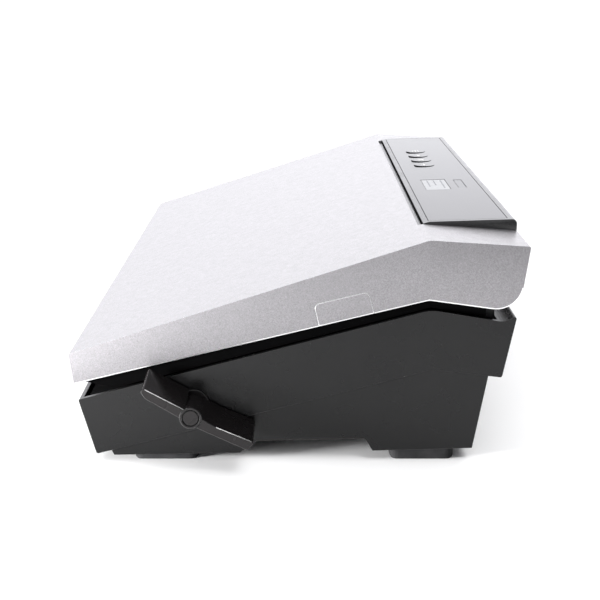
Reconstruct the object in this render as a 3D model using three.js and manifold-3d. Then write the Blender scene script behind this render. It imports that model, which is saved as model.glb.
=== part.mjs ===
// Sheet fed document scanner, in millimetres. X runs across the width, Y from front to rear, Z up.
// A base tray on a pedestal with four feet holds the rollers, glass and drive. A lid with the control
// panel turns on two rear hinges, and a wing lever on the right side works the two lid latches.
import * as THREE from 'three';
import { mergeVertices } from 'three/addons/utils/BufferGeometryUtils.js';
import Module from 'manifold-3d';

const wasm = await Module();
wasm.setup();

// ---------------------------------------------------------------- driving dimensions

const HALF_WIDTH = 192.5;
const GAP = 0.3; // between neighbouring pieces
const FAR = 400; // beyond the object, for cutters that run right through
const OPEN_END = 60; // how far a hollow's outline runs past its open side
const ROUND = 20; // sides of a small round piece
const ROUND_LARGE = 28;
const WELD = 1e-4; // points closer than this are one
const STRAIGHT = 1e-9; // the least turn that counts as a corner

const LID_WALL = 2.2;
const BASE_WALL = 2.4;

// The side view of the lid, as [depth, height] corners, with its rear lower corner round the hinge.
const LID_FRONT_TOP = [-104, 52.1];
const LID_APEX_TOP = [58.9, 104.7];
const LID_REAR_TOP = [104.05, 101.9];
const LID_APEX_BOTTOM = [59.4, 77.2];
const LID_FRONT_BOTTOM = [-102, 37.8];
const HINGE = [89.6, 85.1];
const HINGE_RADIUS = 12;
const LID_REAR_LEAN = THREE.MathUtils.degToRad(7.9);

// The side view of the tray: its rim, its rear lip and its lower edge, which is the seam.
const RIM_FRONT = [-100.4, 30.2];
const RIM_APEX = [60.4, 72.7];
const RIM_DIP = [93.8, 67.1];
const RIM_PEAK = [99.3, 70.2];
const SEAM_FRONT = [-92.9, 3.8];
const SEAM_APEX = [61.2, 44.7];
const SEAM_REAR = [93.4, 40.9];
const LEDGE_DEPTH = 90.5;
const LEDGE_UNDERSIDE = 62;
const BEND_RADIUS = 17;
const FLANGE = { sides: 2, front: 10, rear: 9 }; // how far the tray's floor reaches in
const FLOOR_OPENING_TOP = 56;

// The pedestal below the seam, with the arch between its front and rear legs.
const PEDESTAL_INSET = 1.0;
const PEDESTAL_FRONT = -85;
const PEDESTAL_FRONT_TOP = -86.2;
const PEDESTAL_FRONT_BOTTOM = 2.8;
const ARCH = [[-26.5, 3.9], [-18.4, 9.8, 2], [31.3, 10.9, 2], [34.9, 4.9]];
const PEDESTAL_REAR_BOTTOM = [81.1, 6.2];
const PEDESTAL_REAR_DEPTH = 87.4;

const FOOT_HALF_WIDTH = 9;
const FOOT_HALF_LENGTH = 15;
const FOOT_CORNER = 4;
const FOOT_EDGE = 2;
const FOOT_ACROSS = HALF_WIDTH - 12.5;
const FOOT_DEPTHS = { front: -61, rear: 58 };

// The paper path lies between two bent guide plates that follow the rim.
const GUIDE_THICKNESS = 2;
const LOWER_GUIDE_DROP = 1.0;
const UPPER_GUIDE_RISE = 0.6;
const LOWER_GUIDE_ENDS = [-96, 90];
const UPPER_GUIDE_ENDS = [-84, 85.5];
const UPPER_GUIDE_LIP = [-99.3, 38.6];
const UPPER_GUIDE_SKIRT = { thickness: 2, height: 9 };

// Rollers under the path, and the pinch rollers over them.
const ROLLER_DEPTHS = { feed: -32, exit: 32 };
const ROLLER_RADIUS = 10;
const ROLLER_PROUD = 0.4;
const ROLLER_SHAFT_RADIUS = 4;
const PINCH_RADIUS = 6;
const PINCH_SHAFT_RADIUS = 2.5;
const SLEEVE_STATIONS = [-100, 0, 100];
const SLEEVE_LENGTH = 40;
const SLEEVE_SLOT_MARGIN = 1.5;
const SLOT_HALF_DEPTH = 9;
const PINCH_LUG_STATIONS = [-138, 138];
const PINCH_LUG = { halfWidth: 1.5, halfDepth: 4.5 };
const PINCH_OVERHANG = 4; // of a pinch roller past its lugs

const FRAME_INNER = 176;
const FRAME_OUTER = 179;
const FRAME_REACH = 60; // front and rear of the middle
const FRAME_FOOT = [[-31, 6.9], [-22, 13.6], [34, 13.9], [39.5, 8.8]]; // its lower edge clears the arch
const FRAME_REAR_BOTTOM = 9.5;
const BUSH_RADIUS = 5.8;
const BUSH_PROUD = 1.2;
const SHAFT_OVERHANG = 3; // of a shaft past the frame

const GLASS_HALF_WIDTH = 155;
const GLASS_HALF_DEPTH = 11;
const SENSOR_BAR = { halfWidth: 158, halfDepth: 12, drop: 0.6, height: 15 };
const BACKING_BAR = { rise: 2, thickness: 4.4 };

// Belt drive at the left end of the rollers.
const PULLEY_FROM = -187;
const PULLEY_TO = -181.3;
const PULLEY_RADIUS = 5.5;
const MOTOR_PULLEY_RADIUS = 4;
const MOTOR_AXIS = [48, 28];
const MOTOR_RADIUS = 13;
const MOTOR_LENGTH = 38;
const MOTOR_SHAFT_RADIUS = 2;
const BELT_THICKNESS = 1.2;
const BELT_MARGIN = 0.5; // from each end of a pulley

// Rear hinges.
const BRACKET_FROM = 180;
const BRACKET_TO = 184;
const EAR_FROM = 174.3;
const EAR_TO = 178.3;
const BRACKET_HEAD_RADIUS = 5.2;
const BRACKET_NECK = [[82.6, 50], [90.2, 50], [90.2, HINGE[1]], [84.8, HINGE[1]]];
const EAR_HEAD_RADIUS = 5.8;
const EAR_WEB = [[83.8, HINGE[1]], [95.4, HINGE[1]], [97, 99.3], [82, 99.3]];
const PIN_RADIUS = 3;
const PIN_OVERHANG = 0.6;
const HINGE_SLOT_MARGIN = 0.6;
const HINGE_SLOT_TOP = 83;
const HINGE_SLOT_DEPTHS = { lid: 76, upperGuide: 80, lowerGuide: 82 };

// Side lever and the latch shaft that it turns.
const LEVER_AXIS = [-47.2, 28.7];
const LEVER_REACH = 21;
const LEVER_BACK = 1.5;
const LEVER_HUB_RADIUS = 4.95;
const LEVER_CAP_RADIUS = 3.6;
const LEVER_BUSH_RADIUS = 6.7;
const LEVER_BUSH_DEPTH = 2; // behind the tray's wall
const LEVER_BUSH_GAP = 0.5; // to the lever
const LEVER_CAP_RECESS = 1.5;
const LEVER_CAP_THICKNESS = 1;
const LEVER_FACE = 6; // solid plastic over the end of the latch shaft
const WING_STEP = 0.3; // of a wing's face behind the hub's
const WING_RISE = [0.6, 3.3]; // of a wing's upper side from its front to its back
const LEFT_WING_TOP = [[-2.5, 3.9], [-20.4, 13.7, 0.8], [-21.8, 12.2, 0.8]];
const LEFT_WING_UNDERSIDE = [[-20.1, 9.2, 0.8], [-4.2, -0.4]];
const RIGHT_WING_TOP = [[27.1, -11, 0.5], [11.3, -4.25], [3, 0.5]];
const RIGHT_WING_UNDERSIDE = [[2.5, -4.6], [25, -15.2, 0.8], [27.7, -12.5, 0.8]];
const LATCH_SHAFT_RADIUS = 3;
const HOOK_FROM = 171;
const HOOK_TO = 174;
const HOOK_HUB_RADIUS = 6;
const HOOK_ROOT_RADIUS = 5;
const HOOK_INNER = 11.1;
const HOOK_OUTER = 13.9;
const HOOK_TIP_ANGLE = THREE.MathUtils.degToRad(65);
const HOOK_ARM_ANGLES = [THREE.MathUtils.degToRad(-8), THREE.MathUtils.degToRad(14)];
const STRIKER_HEIGHT = 8.8; // of the striker pin over the latch shaft
const STRIKER_PIN_RADIUS = 2;
const STRIKER_BLADE = [166, 168.5];
const STRIKER_BLADE_HALF_DEPTH = 3;
const STRIKER_FOOT = { reach: 8, halfDepth: 7, thickness: 2 };
const LATCH_SLOT = { inner: STRIKER_BLADE[0] - 0.7, outer: HOOK_TO + 1.8, front: 13, rear: 8 };

// Control panel along the rear of the lid.
const PANEL_HALF_WIDTH = 154.3;
const PANEL_FRONT = 57.3;
const PANEL_SKIRT = 95.5;
const PANEL_GROOVE = [59.2, 103.2]; // where the groove floor ends
const PANEL_FACE_FRONT = [62.4, 105.75];
const PANEL_FACE_REAR = [99.6, 106.95];
const PANEL_FRAME = 3.2;
const PANEL_GLASS_THICKNESS = 1.2;
const PANEL_WALL = 2;
const PANEL_REAR_STEP = 0.1; // in front of the lid's rear face
const PANEL_REAR_RADIUS = 2.2;
const PANEL_BEVEL = { depth: 0.3, drop: 0.9 }; // between the groove and the face
const LIT_STEP = 0.1; // of a lit plate below the panel's glass
const DISPLAY = { across: [31.5, 64.5], depth: [70, 83] };
const STATUS_LIGHT = { across: [34.5, 60.5], depth: [88, 92] };
const BUTTON_STATIONS = [-24, -44, -64, -84];
const BUTTON_DEPTH = 77;
const BUTTON_RADIUS = 6;
const BUTTON_HEIGHT = 4;
const BUTTON_PROUD = 0.4;

// Snap-in cap in each side of the lid.
const CAP_DEPTHS = [10.0, 34.6];
const CAP_HEIGHT = 10.3;
const CAP_CORNER_RADIUS = 2.5;

// Where the lid's underside is open to the paper path.
const MOUTH_FRONT = [LID_FRONT_BOTTOM[0] + LID_WALL, LID_FRONT_BOTTOM[1] + 4];
const MOUTH_MIDDLE = [LID_APEX_BOTTOM[0], LID_APEX_BOTTOM[1] + LID_WALL + 0.5];
const MOUTH_REAR = [HINGE[0] - 1.6, HINGE[1] - HINGE_RADIUS + LID_WALL + 0.1];

// Electronics in the rear of the pedestal.
const BOARD = { across: [10, 150], depth: [42, 77], height: [11.6, 13.2] };
const USB_SOCKET = { across: [54, 66], depth: [64, 83], height: [13.6, 24.6] };
const USB_MOUTH = { wall: 1.6, length: 9 };
const POWER_SOCKET = { across: [98, 108], depth: [69, 83], height: [13.6, 25] };
const POWER_MOUTH = { radius: 3.2, length: 9, pinRadius: 1 };
const SOCKET_OPENING = 10; // past a socket, through the pedestal's rear wall

// ---------------------------------------------------------------- materials

function finish(color, roughness, metalness) {
  return new THREE.MeshStandardMaterial({ color, roughness, metalness });
}

const SILVER_PAINT = finish(0xc9c8cc, 0.42, 0.35);
const BLACK_PLASTIC = finish(0x2b2b2d, 0.6, 0);
const DARK_PLASTIC = finish(0x1b1b1d, 0.7, 0);
const GLOSS_BLACK = finish(0x0c0c0e, 0.08, 0);
const WHITE_PLASTIC = finish(0xf1f1ee, 0.5, 0);
const LIT_WHITE = finish(0xf7fbff, 0.3, 0);
const CLEAR_GLASS = finish(0xbfd0cf, 0.05, 0);
const STEEL = finish(0xb5b7ba, 0.3, 0.95);
const ZINC_SHEET = finish(0xa3a6aa, 0.45, 0.8);
const RUBBER = finish(0x1d1d1e, 0.9, 0);
const GREY_RUBBER = finish(0x55565a, 0.85, 0);
const BRONZE = finish(0x9a7440, 0.45, 0.8);
const BOARD_GREEN = finish(0x1f5a3a, 0.55, 0);

// ---------------------------------------------------------------- outlines in the side view

const vector = ([depth, height]) => new THREE.Vector2(depth, height);

// A closed outline through [depth, height, radius] corners, where a corner with a radius is an arc.
function outline(corners, arcSteps = 5) {
  const points = [];
  corners.forEach((corner, index) => {
    const here = vector(corner);
    const radius = corner[2] ?? 0;
    if (radius === 0) {
      points.push(here);
      return;
    }
    const before = vector(corners.at(index - 1)).sub(here).normalize();
    const after = vector(corners[(index + 1) % corners.length]).sub(here).normalize();
    const halfAngle = Math.acos(before.dot(after)) / 2;
    const bisector = before.clone().add(after).normalize();
    const centre = here.clone().addScaledVector(bisector, radius / Math.sin(halfAngle));
    const tangentLength = radius / Math.tan(halfAngle);
    const start = here.clone().addScaledVector(before, tangentLength).sub(centre);
    const end = here.clone().addScaledVector(after, tangentLength).sub(centre);
    const sweep = Math.atan2(start.cross(end), start.dot(end));
    for (let step = 0; step <= arcSteps; step += 1) {
      points.push(start.clone().rotateAround(new THREE.Vector2(), (sweep * step) / arcSteps).add(centre));
    }
  });
  return points;
}

// An outline moved inwards by the same distance all round.
function inset(points, distance) {
  const inward = (from, to) => {
    const along = to.clone().sub(from).normalize();
    return new THREE.Vector2(-along.y, along.x);
  };
  return points.map((here, index) => {
    const first = inward(points.at(index - 1), here);
    const second = inward(here, points[(index + 1) % points.length]);
    const mitre = first.clone().add(second).divideScalar(1 + first.dot(second));
    return here.clone().addScaledVector(mitre, distance);
  });
}

function arc(centre, radius, from, to, steps) {
  return Array.from({ length: steps + 1 }, (_, step) => {
    const angle = from + ((to - from) * step) / steps;
    return new THREE.Vector2(centre[0] + radius * Math.cos(angle), centre[1] + radius * Math.sin(angle));
  });
}

const circle = (centre, radius, sides = ROUND) => arc(centre, radius, 0, 2 * Math.PI, sides).slice(0, -1);

// The point past b on the line from a to b.
function beyond(a, b, distance) {
  const direction = vector(b).sub(vector(a)).normalize();
  return vector(b).addScaledVector(direction, distance).toArray();
}

const heightOn = (a, b, depth) => a[1] + ((b[1] - a[1]) * (depth - a[0])) / (b[0] - a[0]);

function rimHeight(depth) {
  return depth < RIM_APEX[0] ? heightOn(RIM_FRONT, RIM_APEX, depth) : heightOn(RIM_APEX, RIM_DIP, depth);
}

function convexHull(points) {
  const sorted = [...points].sort((a, b) => a.x - b.x || a.y - b.y);
  const half = (ordered) => {
    const chain = [];
    for (const point of ordered) {
      while (chain.length > 1) {
        const last = chain.at(-1);
        const turn = last.clone().sub(chain.at(-2)).cross(point.clone().sub(last));
        if (turn > STRAIGHT) break;
        chain.pop();
      }
      chain.push(point);
    }
    return chain.slice(0, -1);
  };
  return [...half(sorted), ...half([...sorted].reverse())];
}

// ---------------------------------------------------------------- solids

// The side view's x and y become depth and height, and the extrusion runs across the width.
const SIDE_VIEW = new THREE.Matrix4().set(0, 0, 1, 0, 1, 0, 0, 0, 0, 1, 0, 0, 0, 0, 0, 1);

// A closed geometry as a solid that can be joined and cut.
function solid(geometry) {
  geometry.deleteAttribute('normal');
  geometry.deleteAttribute('uv');
  const merged = mergeVertices(geometry, WELD);
  const corners = merged.index.array;
  const triangles = [];
  for (let i = 0; i < corners.length; i += 3) {
    const [a, b, c] = corners.slice(i, i + 3);
    if (a !== b && b !== c && c !== a) triangles.push(a, b, c);
  }
  return new wasm.Manifold(new wasm.Mesh({
    numProp: 3,
    vertProperties: Float32Array.from(merged.attributes.position.array),
    triVerts: Uint32Array.from(triangles),
  }));
}

function geometryOf(body) {
  const { vertProperties, triVerts } = body.getMesh();
  const geometry = new THREE.BufferGeometry();
  geometry.setAttribute('position', new THREE.BufferAttribute(vertProperties, 3));
  geometry.setIndex(new THREE.BufferAttribute(triVerts, 1));
  geometry.computeVertexNormals();
  return geometry;
}

// A side outline made solid between two stations across the width. With a second outline of as many
// points, the solid tapers to that one at its first station.
function slab(points, from, to, firstPoints = points) {
  const shape = new THREE.Shape(points);
  const geometry = new THREE.ExtrudeGeometry(shape, { depth: to - from, bevelEnabled: false });
  const { position } = geometry.attributes;
  for (let i = 0; i < position.count; i += 1) {
    const corner = new THREE.Vector2(position.getX(i), position.getY(i));
    const index = points.findIndex((point) => point.distanceTo(corner) < WELD);
    if (position.getZ(i) === 0) position.setXY(i, ...firstPoints[index].toArray());
  }
  geometry.translate(0, 0, from);
  return solid(geometry.applyMatrix4(SIDE_VIEW));
}

function block(across, depth, height) {
  const spans = [across, depth, height];
  const geometry = new THREE.BoxGeometry(...spans.map(([low, high]) => high - low));
  return solid(geometry.translate(...spans.map(([low, high]) => (low + high) / 2)));
}

// A turned piece along X: [station, radius] steps from its left end to its right end.
function turned(axis, steps, sides = ROUND) {
  const profile = [new THREE.Vector2(0, steps[0][0])];
  steps.forEach(([station, radius]) => profile.push(new THREE.Vector2(radius, station)));
  profile.push(new THREE.Vector2(0, steps.at(-1)[0]));
  const geometry = new THREE.LatheGeometry(profile, sides);
  geometry.rotateZ(-Math.PI / 2);
  return solid(geometry.translate(0, axis[0], axis[1]));
}

const rod = (axis, radius, from, to, sides = ROUND) => turned(axis, [[from, radius], [to, radius]], sides);

function ring(axis, outer, inner, from, to) {
  return rod(axis, outer, from, to).subtract(rod(axis, inner, from - 1, to + 1));
}

const cutAll = (body, cutters) => cutters.reduce((rest, cutter) => rest.subtract(cutter), body);
const joinAll = (bodies) => bodies.reduce((whole, body) => whole.add(body));

// The same stations on the left or the right side of the object.
const onSide = (side, from, to) => (side > 0 ? [from, to] : [-to, -from]);
const SIDES = { left: -1, right: 1 };

function piece(name, body, material) {
  const mesh = new THREE.Mesh(geometryOf(body), material);
  mesh.name = name;
  return mesh;
}

// ---------------------------------------------------------------- base

function baseTray() {
  const outside = outline([
    [...SEAM_FRONT, 1],
    [...SEAM_APEX, BEND_RADIUS],
    [...SEAM_REAR, 1],
    [...RIM_PEAK, 0.8],
    [...RIM_DIP, 9],
    [...RIM_APEX, BEND_RADIUS],
    [...RIM_FRONT, 0.8],
  ]);
  const walls = inset(outline([
    SEAM_FRONT,
    SEAM_APEX,
    SEAM_REAR,
    beyond(SEAM_REAR, RIM_PEAK, OPEN_END),
    beyond(SEAM_FRONT, RIM_FRONT, OPEN_END),
  ]), BASE_WALL);
  const inner = HALF_WIDTH - BASE_WALL;
  const ledge = block([-FAR, FAR], [LEDGE_DEPTH, FAR], [LEDGE_UNDERSIDE, FAR]);
  const cavity = slab(walls, -inner, inner).subtract(ledge);
  const floorOpening = block(
    [FLANGE.sides - inner, inner - FLANGE.sides],
    [SEAM_FRONT[0] + FLANGE.front, SEAM_REAR[0] - FLANGE.rear],
    [-FAR, FLOOR_OPENING_TOP],
  );
  const leverHole = rod(LEVER_AXIS, LEVER_BUSH_RADIUS + GAP, inner - LEVER_BUSH_DEPTH, FAR);
  return cutAll(slab(outside, -HALF_WIDTH, HALF_WIDTH), [cavity, floorOpening, leverHole]);
}

const seamHeight = (depth) => (
  depth < SEAM_APEX[0] ? heightOn(SEAM_FRONT, SEAM_APEX, depth) : heightOn(SEAM_APEX, SEAM_REAR, depth)
);

function basePedestal() {
  const frontTop = [PEDESTAL_FRONT_TOP, seamHeight(PEDESTAL_FRONT_TOP) - GAP];
  const rearTop = [PEDESTAL_REAR_DEPTH, seamHeight(PEDESTAL_REAR_DEPTH) - GAP];
  const apexTop = [SEAM_APEX[0], SEAM_APEX[1] - GAP, BEND_RADIUS];
  const lower = [[PEDESTAL_FRONT, PEDESTAL_FRONT_BOTTOM], ...ARCH, PEDESTAL_REAR_BOTTOM];
  const outside = outline([...lower, rearTop, apexTop, frontTop]);
  const inside = inset(outline([
    ...lower,
    beyond(PEDESTAL_REAR_BOTTOM, rearTop, OPEN_END),
    [PEDESTAL_FRONT, rearTop[1] + OPEN_END],
  ]), BASE_WALL);
  const half = HALF_WIDTH - PEDESTAL_INSET;
  const cavity = slab(inside, BASE_WALL - half, half - BASE_WALL);
  const sockets = [USB_SOCKET, POWER_SOCKET].map(({ across, depth, height }) => block(
    [across[0] - GAP, across[1] + GAP],
    [depth[0], depth[1] + SOCKET_OPENING],
    [height[0] - GAP, height[1] + GAP],
  ));
  return cutAll(slab(outside, -half, half), [cavity, ...sockets]);
}

function pedestalBottom(depth) {
  return depth < 0
    ? heightOn([PEDESTAL_FRONT, PEDESTAL_FRONT_BOTTOM], ARCH[0], depth)
    : heightOn(ARCH.at(-1), PEDESTAL_REAR_BOTTOM, depth);
}

// A rubber pad with rounded corners and soft lower ends, cut to the slope of the pedestal's underside.
function foot(side, depth) {
  const [near, far] = [depth - FOOT_HALF_LENGTH, depth + FOOT_HALF_LENGTH];
  const [from, to] = [side * FOOT_ACROSS - FOOT_HALF_WIDTH, side * FOOT_ACROSS + FOOT_HALF_WIDTH];
  const profile = outline([
    [near, 0, FOOT_EDGE],
    [far, 0, FOOT_EDGE],
    [far, pedestalBottom(far) - GAP],
    [near, pedestalBottom(near) - GAP],
  ]);
  const plan = new THREE.Shape(outline([
    [from, near, FOOT_CORNER],
    [to, near, FOOT_CORNER],
    [to, far, FOOT_CORNER],
    [from, far, FOOT_CORNER],
  ]));
  const upright = new THREE.ExtrudeGeometry(plan, { depth: FAR, bevelEnabled: false });
  return slab(profile, from, to).intersect(solid(upright));
}

// A bent sheet whose upper face runs through the given points.
function bentSheet(top, thickness, from, to) {
  const under = top.map(([depth, height]) => [depth, height - thickness]);
  return slab([...under, ...[...top].reverse()].map(vector), from, to);
}

const lowerGuideTop = (depth) => rimHeight(depth) - LOWER_GUIDE_DROP;
const upperGuideTop = (depth) => rimHeight(depth) + UPPER_GUIDE_RISE + GUIDE_THICKNESS;

const sleeveSlots = (depth) => SLEEVE_STATIONS.map((station) => block(
  [-1, 1].map((end) => station + end * (SLEEVE_LENGTH / 2 + SLEEVE_SLOT_MARGIN)),
  [depth - SLOT_HALF_DEPTH, depth + SLOT_HALF_DEPTH],
  [-FAR, FAR],
));

const glassWindow = () => block(
  [-GLASS_HALF_WIDTH - GAP, GLASS_HALF_WIDTH + GAP],
  [-GLASS_HALF_DEPTH - GAP, GLASS_HALF_DEPTH + GAP],
  [-FAR, FAR],
);

const hingeSlot = (side, depth, height) => block(
  onSide(side, BRACKET_FROM - HINGE_SLOT_MARGIN, BRACKET_TO + HINGE_SLOT_MARGIN),
  [depth, FAR],
  height,
);

const latchSlot = (side) => block(
  onSide(side, LATCH_SLOT.inner, LATCH_SLOT.outer),
  [LEVER_AXIS[0] - LATCH_SLOT.front, LEVER_AXIS[0] + LATCH_SLOT.rear],
  [-FAR, FAR],
);

function lowerGuidePlate() {
  const half = HALF_WIDTH - BASE_WALL - 2 * GAP;
  const [front, rear] = LOWER_GUIDE_ENDS;
  const top = [front, RIM_APEX[0], rear].map((depth) => [depth, lowerGuideTop(depth)]);
  return cutAll(bentSheet(top, GUIDE_THICKNESS, -half, half), [
    ...sleeveSlots(ROLLER_DEPTHS.feed),
    ...sleeveSlots(ROLLER_DEPTHS.exit),
    glassWindow(),
    ...Object.values(SIDES).map((side) => hingeSlot(side, HINGE_SLOT_DEPTHS.lowerGuide, [-FAR, FAR])),
    ...Object.values(SIDES).map(latchSlot),
  ]);
}

function pathStrip(halfWidth, halfDepth, top, thickness) {
  const ends = [-halfDepth, halfDepth].map((depth) => [depth, top(depth)]);
  return bentSheet(ends, thickness, -halfWidth, halfWidth);
}

const scanGlass = () => pathStrip(GLASS_HALF_WIDTH, GLASS_HALF_DEPTH, lowerGuideTop, GUIDE_THICKNESS);
const sensorBar = () => pathStrip(
  SENSOR_BAR.halfWidth,
  SENSOR_BAR.halfDepth,
  (depth) => lowerGuideTop(depth) - GUIDE_THICKNESS - SENSOR_BAR.drop,
  SENSOR_BAR.height,
);

// The centre of a roller that touches the path at the given depth, this far above the lower guide.
function rollerAxis(depth, aboveGuide) {
  const slope = Math.atan2(RIM_APEX[1] - RIM_FRONT[1], RIM_APEX[0] - RIM_FRONT[0]);
  return [depth - aboveGuide * Math.sin(slope), lowerGuideTop(depth) + aboveGuide * Math.cos(slope)];
}

const driveAxis = (name) => rollerAxis(ROLLER_DEPTHS[name], ROLLER_PROUD - ROLLER_RADIUS);
const pinchAxis = (name) => rollerAxis(ROLLER_DEPTHS[name], 2 * ROLLER_PROUD + PINCH_RADIUS);

function sideFrame(side) {
  const underGuide = (depth) => lowerGuideTop(depth) - GUIDE_THICKNESS - GAP;
  const plate = slab([
    [-FRAME_REACH, FRAME_FOOT[0][1]],
    ...FRAME_FOOT,
    [FRAME_REACH, FRAME_REAR_BOTTOM],
    [FRAME_REACH, underGuide(FRAME_REACH)],
    [-FRAME_REACH, underGuide(-FRAME_REACH)],
  ].map(vector), ...onSide(side, FRAME_INNER, FRAME_OUTER));
  return cutAll(plate, [
    rod(driveAxis('feed'), BUSH_RADIUS + GAP, -FAR, FAR),
    rod(driveAxis('exit'), BUSH_RADIUS + GAP, -FAR, FAR),
    rod(LEVER_AXIS, LATCH_SHAFT_RADIUS + GAP, -FAR, FAR),
    rod(MOTOR_AXIS, MOTOR_SHAFT_RADIUS + 1, -FAR, FAR),
  ]);
}

function bush(side, name) {
  const stations = onSide(side, FRAME_INNER - BUSH_PROUD, FRAME_OUTER + BUSH_PROUD);
  return ring(driveAxis(name), BUSH_RADIUS, ROLLER_SHAFT_RADIUS + GAP, ...stations);
}

const rollerShaft = (name) => rod(
  driveAxis(name),
  ROLLER_SHAFT_RADIUS,
  PULLEY_FROM - 1,
  FRAME_OUTER + SHAFT_OVERHANG,
);

const rollerSleeve = (name, station) => ring(
  driveAxis(name),
  ROLLER_RADIUS,
  ROLLER_SHAFT_RADIUS + GAP,
  station - SLEEVE_LENGTH / 2,
  station + SLEEVE_LENGTH / 2,
);

const pulley = (name) => ring(
  driveAxis(name),
  PULLEY_RADIUS,
  ROLLER_SHAFT_RADIUS + GAP,
  PULLEY_FROM,
  PULLEY_TO,
);

const motorPulley = () => turned(MOTOR_AXIS, [
  [PULLEY_FROM, MOTOR_PULLEY_RADIUS],
  [PULLEY_TO, MOTOR_PULLEY_RADIUS],
  [PULLEY_TO, MOTOR_SHAFT_RADIUS],
  [-FRAME_INNER - GAP, MOTOR_SHAFT_RADIUS],
]);

const driveMotor = () => rod(
  MOTOR_AXIS,
  MOTOR_RADIUS,
  GAP - FRAME_INNER,
  MOTOR_LENGTH - FRAME_INNER,
  ROUND_LARGE,
);

function driveBelt() {
  const wrap = (extra) => convexHull([
    ...circle(driveAxis('feed'), PULLEY_RADIUS + extra, ROUND_LARGE),
    ...circle(driveAxis('exit'), PULLEY_RADIUS + extra, ROUND_LARGE),
    ...circle(MOTOR_AXIS, MOTOR_PULLEY_RADIUS + extra, ROUND_LARGE),
  ]);
  const outside = slab(wrap(GAP + BELT_THICKNESS), PULLEY_FROM + BELT_MARGIN, PULLEY_TO - BELT_MARGIN);
  return outside.subtract(slab(wrap(GAP), PULLEY_FROM - 1, PULLEY_TO + 1));
}

const blockOf = ({ across, depth, height }) => block(across, depth, height);

function usbSocket() {
  const { across, depth, height } = USB_SOCKET;
  const { wall, length } = USB_MOUTH;
  const mouth = block(
    [across[0] + wall, across[1] - wall],
    [depth[1] - length, FAR],
    [height[0] + wall, height[1] - wall],
  );
  return blockOf(USB_SOCKET).subtract(mouth);
}

function powerSocket() {
  const { across, depth, height } = POWER_SOCKET;
  const centre = [(across[0] + across[1]) / 2, (height[0] + height[1]) / 2];
  const { radius, length, pinRadius } = POWER_MOUTH;
  const bore = new THREE.CylinderGeometry(radius, radius, 2 * length, ROUND);
  const pin = new THREE.CylinderGeometry(pinRadius, pinRadius, length, ROUND);
  bore.translate(centre[0], depth[1], centre[1]);
  pin.translate(centre[0], depth[1] - length / 2 - 1, centre[1]);
  return blockOf(POWER_SOCKET).subtract(solid(bore)).add(solid(pin));
}

// ---------------------------------------------------------------- hinges

function hingeBracket(side) {
  const stations = onSide(side, BRACKET_FROM, BRACKET_TO);
  const neck = slab(BRACKET_NECK.map(vector), ...stations);
  const head = rod(HINGE, BRACKET_HEAD_RADIUS, ...stations);
  return neck.add(head).subtract(rod(HINGE, PIN_RADIUS + GAP, -FAR, FAR));
}

const hingePin = (side) => rod(
  HINGE,
  PIN_RADIUS,
  ...onSide(side, EAR_FROM - PIN_OVERHANG, BRACKET_TO + PIN_OVERHANG),
);

function hingeEar(side) {
  const stations = onSide(side, EAR_FROM, EAR_TO);
  const web = slab(EAR_WEB.map(vector), ...stations);
  const head = rod(HINGE, EAR_HEAD_RADIUS, ...stations);
  return web.add(head).subtract(rod(HINGE, PIN_RADIUS + GAP, -FAR, FAR));
}

// ---------------------------------------------------------------- lever and latches

// A wing grows thicker towards its back, where its upper side is higher.
function leverWing(top, underside, back, front) {
  const around = (corners, rise = [0, 0]) => corners.map(([depth, height, radius]) => (
    [depth + LEVER_AXIS[0] + rise[0], height + LEVER_AXIS[1] + rise[1], radius]
  ));
  const frontOutline = outline([...around(top), ...around(underside)]);
  const backOutline = outline([...around(top, WING_RISE), ...around(underside)]);
  return slab(frontOutline, back, front, backOutline);
}

function leverKnob() {
  const back = HALF_WIDTH + LEVER_BACK;
  const front = HALF_WIDTH + LEVER_REACH;
  const hub = rod(LEVER_AXIS, LEVER_HUB_RADIUS, back, front);
  const leftWing = leverWing(LEFT_WING_TOP, LEFT_WING_UNDERSIDE, back, front - WING_STEP);
  const rightWing = leverWing(RIGHT_WING_TOP, RIGHT_WING_UNDERSIDE, back, front - WING_STEP);
  return cutAll(joinAll([hub, leftWing, rightWing]), [
    rod(LEVER_AXIS, LATCH_SHAFT_RADIUS + GAP, back - 1, front - LEVER_FACE),
    rod(LEVER_AXIS, LEVER_CAP_RADIUS + GAP, front - LEVER_CAP_RECESS, FAR),
  ]);
}

const leverCap = () => rod(
  LEVER_AXIS,
  LEVER_CAP_RADIUS,
  HALF_WIDTH + LEVER_REACH - LEVER_CAP_RECESS + GAP,
  HALF_WIDTH + LEVER_REACH - LEVER_CAP_RECESS + GAP + LEVER_CAP_THICKNESS,
);

const leverBush = () => ring(
  LEVER_AXIS,
  LEVER_BUSH_RADIUS,
  LATCH_SHAFT_RADIUS + GAP,
  HALF_WIDTH - BASE_WALL - LEVER_BUSH_DEPTH,
  HALF_WIDTH + LEVER_BACK - LEVER_BUSH_GAP,
);

const latchShaft = () => rod(
  LEVER_AXIS,
  LATCH_SHAFT_RADIUS,
  -FRAME_OUTER - SHAFT_OVERHANG,
  HALF_WIDTH + LEVER_REACH - LEVER_FACE - GAP,
);

// A finger that swings over the striker pin, shown clear of it.
function latchHook(side) {
  const stations = onSide(side, HOOK_FROM, HOOK_TO);
  const [armLow, armHigh] = HOOK_ARM_ANGLES;
  const finger = slab([
    ...arc(LEVER_AXIS, HOOK_OUTER, armLow, HOOK_TIP_ANGLE, 8),
    ...arc(LEVER_AXIS, HOOK_INNER, HOOK_TIP_ANGLE, armHigh, 6),
    ...arc(LEVER_AXIS, HOOK_ROOT_RADIUS, armHigh, armLow, 2),
  ], ...stations);
  const hub = rod(LEVER_AXIS, HOOK_HUB_RADIUS, ...stations);
  return finger.add(hub).subtract(rod(LEVER_AXIS, LATCH_SHAFT_RADIUS + GAP, -FAR, FAR));
}

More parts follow.
